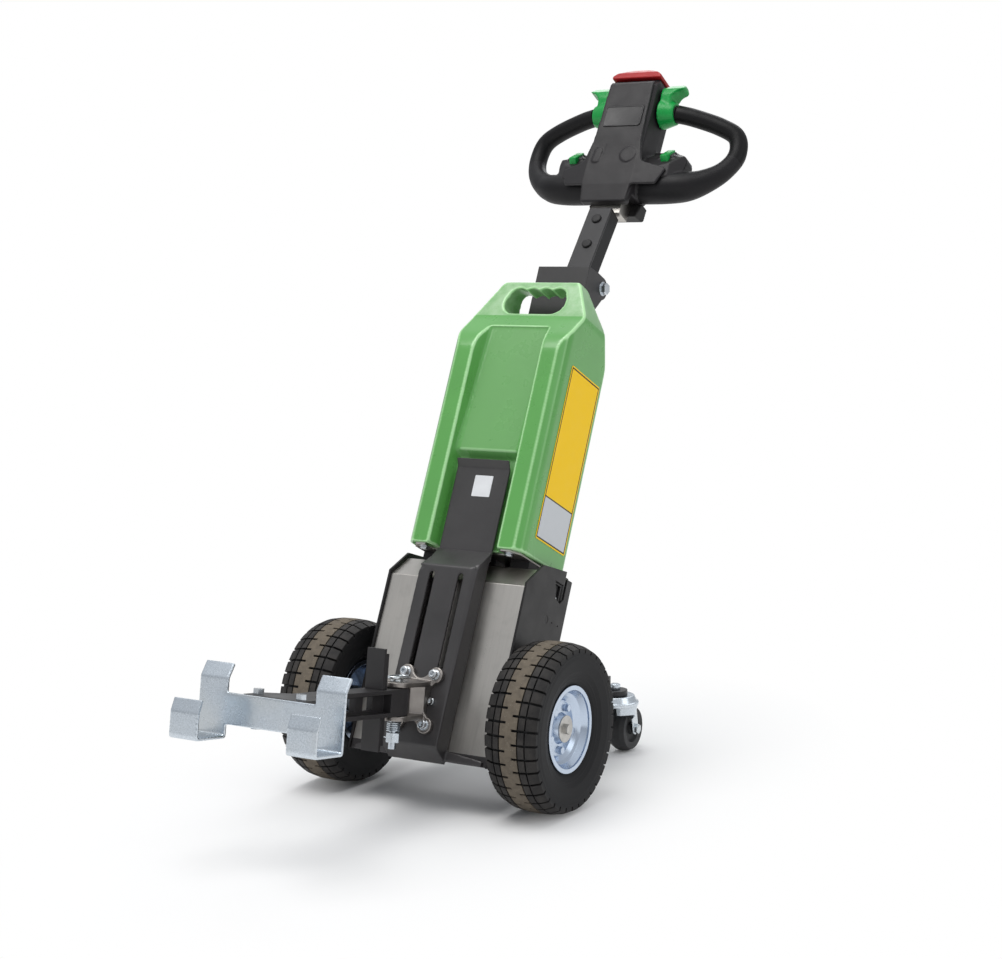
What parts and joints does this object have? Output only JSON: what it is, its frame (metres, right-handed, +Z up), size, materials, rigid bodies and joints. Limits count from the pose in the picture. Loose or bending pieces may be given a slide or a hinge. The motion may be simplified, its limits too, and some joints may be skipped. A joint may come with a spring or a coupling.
{
  "type": "walk behind electric tug",
  "caption": "Compact pedestrian tug with driven wheels, lift-off battery, sprung tow hook and tilting loop tiller, for pulling carts.",
  "frame": {"origin": "on the floor, in the middle of the object's box in plan, below the drive wheels' and casters' contact plane", "axes": "+Z up, +X to the machine's right wheel, +Y towards the operator, so the tow hook points along -Y"},
  "size_m": [0.462, 1.2333, 1.168],
  "materials": {
    "black_plate": "fine textured satin powder coat, near black",
    "stainless": "brushed stainless sheet",
    "zinc": "bright blue-white zinc plating",
    "raw_steel": "machined steel",
    "cast_steel": "investment cast, fine grey skin",
    "gearbox": "cast aluminium housing",
    "motor": "dull black lacquer",
    "case_green": "glossy green roto-moulded plastic",
    "head_plastic": "matt black glass-filled plastic",
    "dark_plastic": "matt black plastic",
    "grip_rubber": "soft matt rubber",
    "tyre": "black rubber, worn brownish centre rib",
    "caster_tread": "dark grey tread",
    "lever_green": "bright green plastic",
    "button_red": "red plastic",
    "panel_black": "smooth black, bare",
    "cells": "dark grey cell blocks"
  },
  "bodies": {
    "chassis": {"side_plate_left": "black_plate", "side_plate_right": "black_plate", "front_cover": "stainless", "rear_cover": "black_plate", "belly_pan": "black_plate", "center_strap": "black_plate", "upper_plate": "black_plate", "battery_deck": "black_plate", "battery_cradle": "dark_plastic", "battery_socket": "dark_plastic", "tiller_column": "black_plate", "column_bolts": "zinc", "gearbox_left": "gearbox", "gearbox_right": "gearbox", "motor_left": "motor", "motor_right": "motor", "controller": "motor", "caster_arm_left": "black_plate", "caster_arm_right": "black_plate", "caster_brace": "black_plate", "pivot_bolt": "zinc", "hitch_casting": "cast_steel", "casting_bolts": "zinc"},
    "wheel_left": {"tyre_left": "tyre", "rim_left": "zinc", "drive_shaft_left": "raw_steel"},
    "wheel_right": {"tyre_right": "tyre", "rim_right": "zinc", "drive_shaft_right": "raw_steel"},
    "caster_left": {"caster_fork_left": "zinc"},
    "caster_right": {"caster_fork_right": "zinc"},
    "caster_roller_left": {"caster_wheel_left": "caster_tread"},
    "caster_roller_right": {"caster_wheel_right": "caster_tread"},
    "battery": {"battery_case": "case_green", "battery_cells": "cells", "battery_base": "stainless", "battery_plug": "dark_plastic"},
    "tiller": {"tiller_arm": "head_plastic", "arm_front_plate": "head_plastic", "pivot_bushes": "zinc", "head_housing": "head_plastic", "head_cover": "head_plastic", "name_panel": "panel_black", "head_bracket": "stainless", "under_cover": "head_plastic", "handle_left": "head_plastic", "handle_right": "head_plastic", "grip_left": "grip_rubber", "grip_right": "grip_rubber"},
    "belly_button": {"belly_button": "button_red"},
    "thumb_left": {"thumb_lever_left": "lever_green"},
    "thumb_right": {"thumb_lever_right": "lever_green"},
    "button_left": {"push_button_left": "lever_green"},
    "button_right": {"push_button_right": "lever_green"},
    "hitch": {"hitch_arm": "black_plate", "bumper_plate": "black_plate", "hook_plate": "zinc", "hook_bolts": "zinc"},
    "hitch_pin": {"hitch_pin": "zinc", "pin_spring": "zinc"}
  },
  "joints": [
    {"name": "wheel_left_spin", "type": "hinge", "parent": "chassis", "child": "wheel_left", "pos_m": [-0.1878, -0.10374, 0.13], "axis": [1, 0, 0], "continuous": true},
    {"name": "wheel_right_spin", "type": "hinge", "parent": "chassis", "child": "wheel_right", "pos_m": [0.1878, -0.10374, 0.13], "axis": [1, 0, 0], "continuous": true},
    {"name": "caster_left_swivel", "type": "hinge", "parent": "chassis", "child": "caster_left", "pos_m": [-0.114, 0.24926, 0.105], "axis": [0, 0, 1], "continuous": true},
    {"name": "caster_left_roll", "type": "hinge", "parent": "caster_left", "child": "caster_roller_left", "pos_m": [-0.114, 0.28826, 0.04], "axis": [1, 0, 0], "continuous": true},
    {"name": "caster_right_swivel", "type": "hinge", "parent": "chassis", "child": "caster_right", "pos_m": [0.114, 0.24926, 0.105], "axis": [0, 0, 1], "continuous": true},
    {"name": "caster_right_roll", "type": "hinge", "parent": "caster_right", "child": "caster_roller_right", "pos_m": [0.114, 0.28826, 0.04], "axis": [1, 0, 0], "continuous": true},
    {"name": "battery_lift", "type": "slide", "parent": "chassis", "child": "battery", "axis": [0, 0.4131, 0.9107], "range_m": [0, 0.15]},
    {"name": "tiller_tilt", "type": "hinge", "parent": "chassis", "child": "tiller", "pos_m": [0, 0.31823, 0.78257], "axis": [-1, 0, 0], "range_deg": [-34, 41]},
    {"name": "belly_button_press", "type": "slide", "parent": "tiller", "child": "belly_button", "axis": [0, -0.8746, 0.4848], "range_m": [0, 0.005], "stiffness_N_per_m": 2500, "springref_m": -0.002},
    {"name": "thumb_left_turn", "type": "hinge", "parent": "tiller", "child": "thumb_left", "pos_m": [-0.06, 0.53842, 1.08699], "axis": [1, 0, 0], "range_deg": [-25, 25], "stiffness_Nm_per_rad": 0.6},
    {"name": "thumb_right_turn", "type": "hinge", "parent": "tiller", "child": "thumb_right", "pos_m": [0.06, 0.53842, 1.08699], "axis": [1, 0, 0], "range_deg": [-25, 25], "stiffness_Nm_per_rad": 0.6},
    {"name": "button_left_press", "type": "slide", "parent": "tiller", "child": "button_left", "axis": [0, 0.0523, -0.9986], "range_m": [0, 0.0025], "stiffness_N_per_m": 400, "springref_m": -0.001},
    {"name": "button_right_press", "type": "slide", "parent": "tiller", "child": "button_right", "axis": [0, 0.0523, -0.9986], "range_m": [0, 0.0025], "stiffness_N_per_m": 400, "springref_m": -0.001},
    {"name": "hitch_swing", "type": "hinge", "parent": "chassis", "child": "hitch", "pos_m": [0, -0.24466, 0.17591], "axis": [0, 0.1392, 0.9903], "range_deg": [-30, 30]},
    {"name": "hitch_pin_lift", "type": "slide", "parent": "hitch", "child": "hitch_pin", "axis": [0, 0.1392, 0.9903], "range_m": [0, 0.006], "stiffness_N_per_m": 3000, "springref_m": -0.004, "deforming": ["pin_spring"]}
  ],
  "couplings": [
    {"joint": "thumb_right_turn", "follows": "thumb_left_turn", "ratio": 1}
  ]
}
